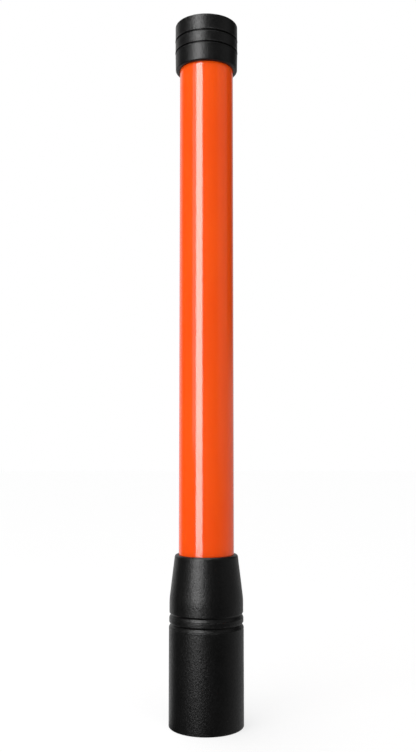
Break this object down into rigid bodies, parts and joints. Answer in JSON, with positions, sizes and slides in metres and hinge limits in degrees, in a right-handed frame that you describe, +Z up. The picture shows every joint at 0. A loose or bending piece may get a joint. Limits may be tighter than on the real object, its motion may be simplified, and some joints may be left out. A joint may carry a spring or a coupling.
{
  "type": "traffic baton light",
  "caption": "Handheld light baton: long glossy orange tube, black grooved end cap, black tapered collar and a screw-off handle barrel with a switch in its base.",
  "frame": {"origin": "middle of the plane the baton stands on, under the rubber foot of the handle", "axes": "+Z up along the baton's own axis, from the handle to the end cap; +X to the right and +Y away for a viewer in front"},
  "size_m": [0.054, 0.054, 0.516],
  "materials": {
    "black_plastic": "fine textured",
    "orange_plastic": "glossy, translucent",
    "white_plastic": "satin",
    "black_rubber": "matte",
    "button_plastic": "satin",
    "switch_plastic": "satin",
    "circuit_board": "satin",
    "led_package": "glossy",
    "chip_plastic": "satin",
    "screw_steel": "satin",
    "spring_steel": "bright",
    "contact_brass": "satin",
    "red_lead": "satin",
    "black_lead": "satin",
    "cell_sleeve": "plain metallic sleeve"
  },
  "bodies": {
    "head": {"handle_collar": "black_plastic", "grip_ring": "black_plastic", "barrel_seal": "black_rubber", "tube_seal": "black_rubber", "light_tube": "orange_plastic", "diffuser_sleeve": "white_plastic", "foot_holder": "white_plastic", "top_plug": "white_plastic", "led_board": "circuit_board", "leds_front": "led_package", "leds_back": "led_package", "led_resistors": "chip_plastic", "driver_board": "circuit_board", "driver_parts": "chip_plastic", "driver_screws": "screw_steel", "positive_spring": "spring_steel", "return_contact": "contact_brass", "lead_positive": "red_lead", "lead_negative": "black_lead"},
    "end_cap": {"top_cap": "black_plastic"},
    "battery_pack": {"pack_frame": "switch_plastic", "pack_board_lower": "circuit_board", "pack_board_upper": "circuit_board", "pack_pad": "contact_brass", "pack_pin": "contact_brass", "cell_springs": "spring_steel", "cell_pads": "contact_brass", "cell_1": "cell_sleeve", "cell_2": "cell_sleeve", "cell_3": "cell_sleeve", "cell_4": "cell_sleeve"},
    "barrel": {"handle_barrel": "black_plastic", "foot_ring": "black_rubber", "switch_gasket": "black_rubber", "switch_body": "switch_plastic", "switch_nut": "switch_plastic", "switch_terminals": "contact_brass", "tail_board": "circuit_board", "tail_board_screws": "screw_steel", "tail_spring": "spring_steel", "barrel_contact": "contact_brass", "switch_spring": "spring_steel"},
    "button": {"switch_button": "button_plastic"}
  },
  "joints": [
    {"name": "cap_pull", "type": "slide", "parent": "head", "child": "end_cap", "axis": [0, 0, 1], "range_m": [0, 0.03]},
    {"name": "pack_travel", "type": "slide", "parent": "head", "child": "battery_pack", "axis": [0, 0, -1], "range_m": [0, 0.036]},
    {"name": "barrel_unscrew", "type": "hinge", "parent": "battery_pack", "child": "barrel", "pos_m": [0, 0, 0.035], "axis": [0, 0, -1], "range_deg": [0, 2160]},
    {"name": "switch_press", "type": "slide", "parent": "barrel", "child": "button", "axis": [0, 0, 1], "range_m": [0, 0.002], "stiffness_N_per_m": 500, "springref_m": -0.002, "deforming": ["switch_spring"]}
  ],
  "couplings": [
    {"joint": "pack_travel", "follows": "barrel_unscrew", "m_per_rad": 0.00095493}
  ]
}
